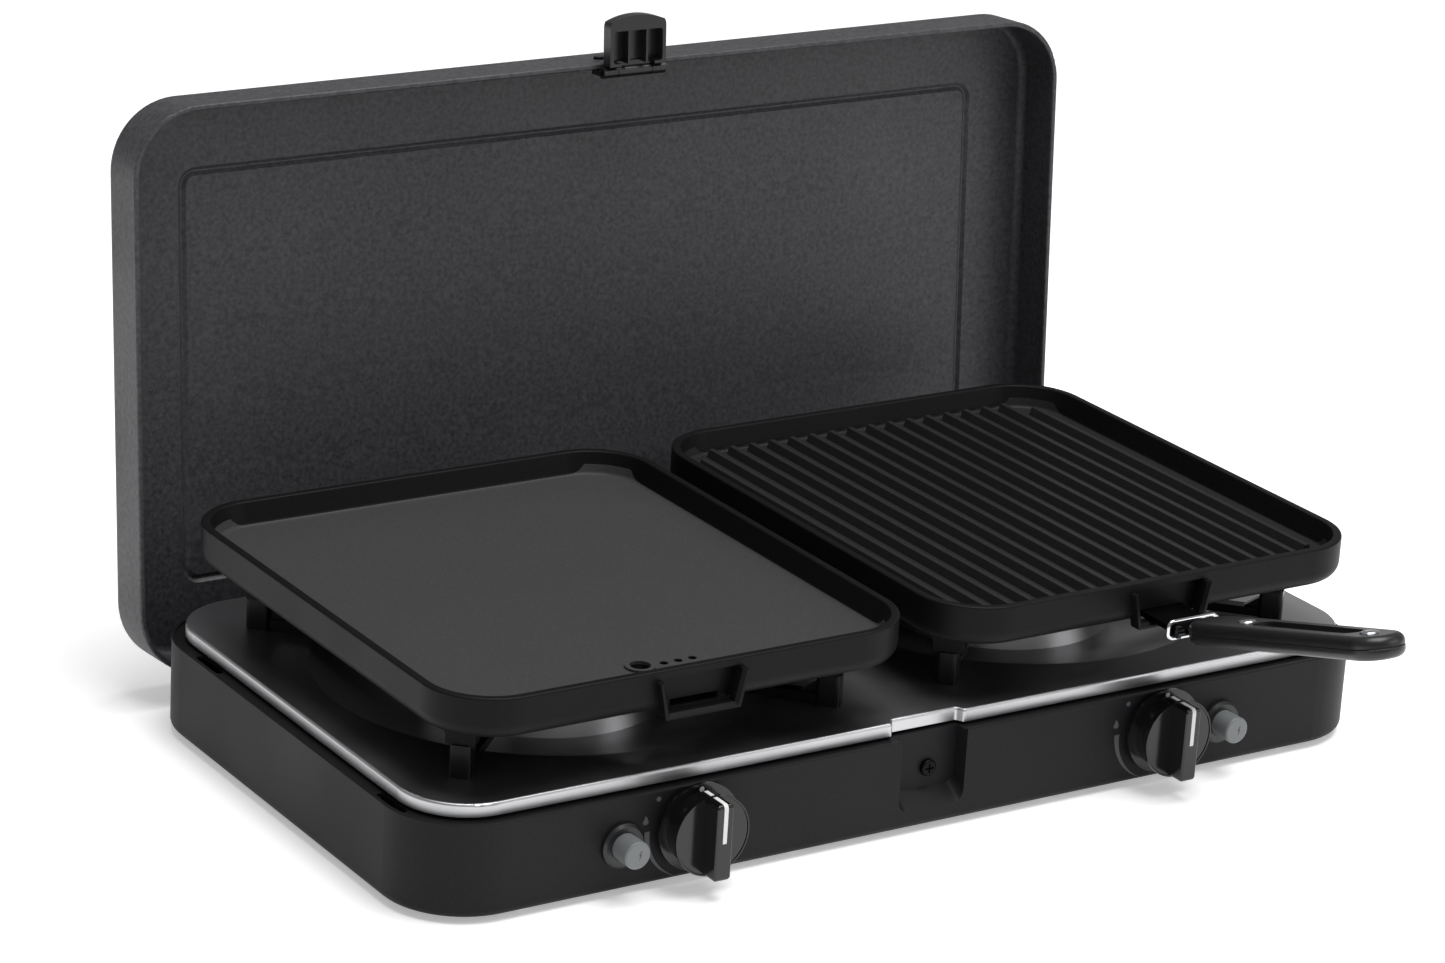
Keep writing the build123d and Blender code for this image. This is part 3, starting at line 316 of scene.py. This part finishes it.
white_inlay = moulded("white_acrylic_inlay", "dededc", 0.5, 1.0, 0.01)
grey_print = moulded("pale_grey_pad_print", "b4b5b6", 0.6, 1.0, 0.002)
faint_print = moulded("dark_grey_pad_print", "4a4b4c", 0.6, 1.0, 0.002)
ceramic = moulded("white_glazed_steatite", "d8d5cc", 0.25, 2.0, 0.01)
print("non-stick:", nonstick.name, "grip:", grip_plastic.name, "print:", faint_print.name)

# %% [markdown]
# ## Finishes for the CAD pieces
#
# Every CAD piece gets one of these finishes in its material slot. The table pairs the start of a piece's name
# with its finish, and stops the script if a piece has none.

# %% Assign the finishes
FINISHES = {
    "base_casing": casing_coat, "base_floor": zinc, "rubber_feet": rubber, "floor_screws": zinc,
    "top_plate": stainless, "gas_rail": pipe_aluminium, "gas_inlet": brass, "catch_screw": black_screw,
    "burner_body": cast_aluminium, "burner_cap": cap_enamel, "burner_stand": zinc, "gas_valve": cast_aluminium,
    "valve_spindle": brass, "injector": brass, "thermocouple": zinc, "electrode": ceramic,
    "ignition_lead": cable_rubber, "knob_marker": white_inlay, "knob": knob_plastic,
    "button_bezel": bezel_plastic, "igniter_button": button_plastic, "igniter_module": bezel_plastic,
    "trivet": trivet_enamel, "hinge_arm": lid_coat, "hinge_bracket": zinc, "hinge_pin": zinc,
    "griddle_pan": nonstick, "grill_pan": nonstick_ribs, "handle_tongue": dark_steel,
    "handle_lock_ring": chrome, "handle_grip": grip_plastic, "handle_rivets": zinc, "lid_shell": lid_coat,
    "arm_screws": zinc, "bracket_screws": zinc, "latch_bracket": latch_plastic, "latch_body": latch_plastic,
    "latch_pin": black_screw, "latch_screws": black_screw,
}


def finish_for(node_name):
    """The finish whose key is the longest start of this name."""
    keys = [key for key in FINISHES if node_name.startswith(key)]
    return FINISHES[max(keys, key=len)]


for node_name, node in nodes.items():
    for slot in node.material_slots:
        slot.material = finish_for(node_name)

floor_finish, tree, shader, place = new_finish("white_paper_sweep", "fafafa", 0.9)
tree.links.new(blend_colours(tree, grain(tree, place, 900.0), "f8f8f8", "ffffff"), shader.inputs["Base Color"])
shader.inputs["Emission Color"].default_value = linear("ffffff")
shader.inputs["Emission Strength"].default_value = 0.35
floor.data.materials.append(floor_finish)

room = bpy.data.worlds.new("white_room")
bpy.context.scene.world = room
room.use_nodes = True
room.node_tree.nodes["Background"].inputs["Color"].default_value = linear("ffffff")
room.node_tree.nodes["Background"].inputs["Strength"].default_value = 0.28
print("finished", len(nodes), "CAD nodes")

# %% [markdown]
# ## Printed dial marks
#
# Round each knob the casing carries small pad-printed marks: a faint dot for off, a flame on the left for full
# flame, and an arc that tapers as the flame gets smaller. A pale dot sits on the knob's own flange, and each
# button has a small bolt. Real ink is a few hundredths of a millimetre thick. Each mark is a flat outline
# extruded by 0.12 mm, so that it stands clear of the surface under it.

# %% Where the controls are
WALL_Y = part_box("base_casing")[0].y
INK = 0.00012                     # thickness of a mark
FLANGE_FACE_Y = WALL_Y - 0.00595  # where the marked part of a knob's flange is


def centre(node_name):
    """Middle of a CAD node's box."""
    low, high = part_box(node_name)
    return (low + high) / 2


def edit_faces(piece):
    """Edit mode on one piece, by faces and with all of them selected."""
    bpy.ops.object.select_all(action="DESELECT")
    piece.select_set(True)
    bpy.context.view_layer.objects.active = piece
    bpy.ops.object.mode_set(mode="EDIT")
    bpy.ops.mesh.select_mode(type="FACE")
    bpy.ops.mesh.select_all(action="SELECT")


def settle(piece):
    """Back to object mode with the place and turn moved into the mesh."""
    bpy.ops.object.mode_set(mode="OBJECT")
    bpy.ops.object.select_all(action="DESELECT")
    piece.select_set(True)
    bpy.context.view_layer.objects.active = piece
    bpy.ops.object.transform_apply(location=True, rotation=True, scale=True)
    return piece


def join(name, pieces):
    """Joins several pieces into one."""
    bpy.ops.object.select_all(action="DESELECT")
    for piece in pieces:
        piece.select_set(True)
    bpy.context.view_layer.objects.active = pieces[0]
    bpy.ops.object.join()
    pieces[0].name = name
    return pieces[0]


def add_piece(piece, body, finish):
    """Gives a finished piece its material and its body."""
    piece.data.materials.clear()
    piece.data.materials.append(finish)
    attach(piece, body)
    print(piece.name, len(piece.data.polygons), "faces on", body)
    return piece


def thicken_ink(piece, thickness=INK):
    """Extrudes a flat outline that lies on the front wall towards the viewer."""
    edit_faces(piece)
    bpy.ops.mesh.extrude_region_move(TRANSFORM_OT_translate={"value": (0, -thickness, 0)})
    bpy.ops.mesh.select_all(action="SELECT")
    bpy.ops.mesh.normals_make_consistent(inside=False)
    return settle(piece)


def printed_outline(name, outline, x, y, z):
    """A flat mark with this (across, up) outline in millimetres, centred on a point of the front wall."""
    bpy.ops.object.select_all(action="DESELECT")
    bpy.ops.mesh.primitive_circle_add(vertices=len(outline), radius=0.001, fill_type="NGON",
                                      location=(x, y, z), rotation=(pi / 2, 0, 0))
    mark = bpy.context.object
    mark.name = name
    for vertex, (across, up) in zip(mark.data.vertices, outline):
        vertex.co = (across / 1000, up / 1000, 0)
    return thicken_ink(mark)


def round_outline(radius, count=20):
    return [(radius * cos(2 * pi * i / count), radius * sin(2 * pi * i / count)) for i in range(count)]


def crescent_outline(radius, thick, start, end, count=24):
    """Arc about the knob's axis that is thick at its start and runs out to a point at its end."""
    turns = [radians(start + (end - start) * i / count) for i in range(count + 1)]
    outer = [(radius * cos(t), radius * sin(t)) for t in turns]
    reach = [radius - thick * (1 - i / count) for i in range(count)]
    inner = [(r * cos(t), r * sin(t)) for r, t in zip(reach, turns)]
    return outer + inner[::-1]


FLAME = [(0.0, -2.1), (-1.1, -1.8), (-1.7, -0.9), (-1.6, 0.1), (-0.9, 1.1), (-0.6, 2.0), (-0.5, 2.9),
         (0.4, 2.2), (1.0, 1.3), (1.2, 0.5), (1.6, -0.3), (1.5, -1.2), (1.0, -1.8)]
BOLT = [(0.5, 3.0), (-1.0, 0.2), (-0.1, 0.2), (-0.6, -3.0), (1.1, 0.6), (0.2, 0.6), (1.0, 3.0)]

# places from the middle of the knob, or of the button for the bolt, in metres across and up
FLAME_AT = (-0.0285, 0.006)
OFF_AT = (-0.0215, 0.0168)
POINTER_UP = 0.0205
BOLT_ACROSS, BOLT_SCALE = 0.0012, 0.8
ARC_RADIUS, ARC_THICK = 29.0, 3.2  # millimetres, as in the outlines
ARC_START, ARC_END = 180, 255      # degrees round from the right: nine o'clock to half past six

# %% Print the marks round both knobs and on both buttons
for side in ("left", "right"):
    knob = centre(f"knob_{side}")
    button = centre(f"igniter_button_{side}")
    arc = crescent_outline(ARC_RADIUS, ARC_THICK, ARC_START, ARC_END)
    marks = [printed_outline("flame", FLAME, knob.x + FLAME_AT[0], WALL_Y, knob.z + FLAME_AT[1]),
             printed_outline("arc", arc, knob.x, WALL_Y, knob.z),
             printed_outline("off", round_outline(1.3), knob.x + OFF_AT[0], WALL_Y, knob.z + OFF_AT[1])]
    add_piece(join(f"dial_marks_{side}", marks), "base", faint_print)
    dot = printed_outline(f"pointer_dot_{side}", round_outline(1.4), knob.x, FLANGE_FACE_Y,
                          knob.z + POINTER_UP)
    add_piece(dot, f"knob_{side}", grey_print)
    small_bolt = [(across * BOLT_SCALE, up * BOLT_SCALE) for across, up in BOLT]
    cap_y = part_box(f"igniter_button_{side}")[0].y
    bolt = printed_outline(f"spark_mark_{side}", small_bolt, button.x + BOLT_ACROSS, cap_y, button.z)
    add_piece(bolt, f"igniter_button_{side}", faint_print)
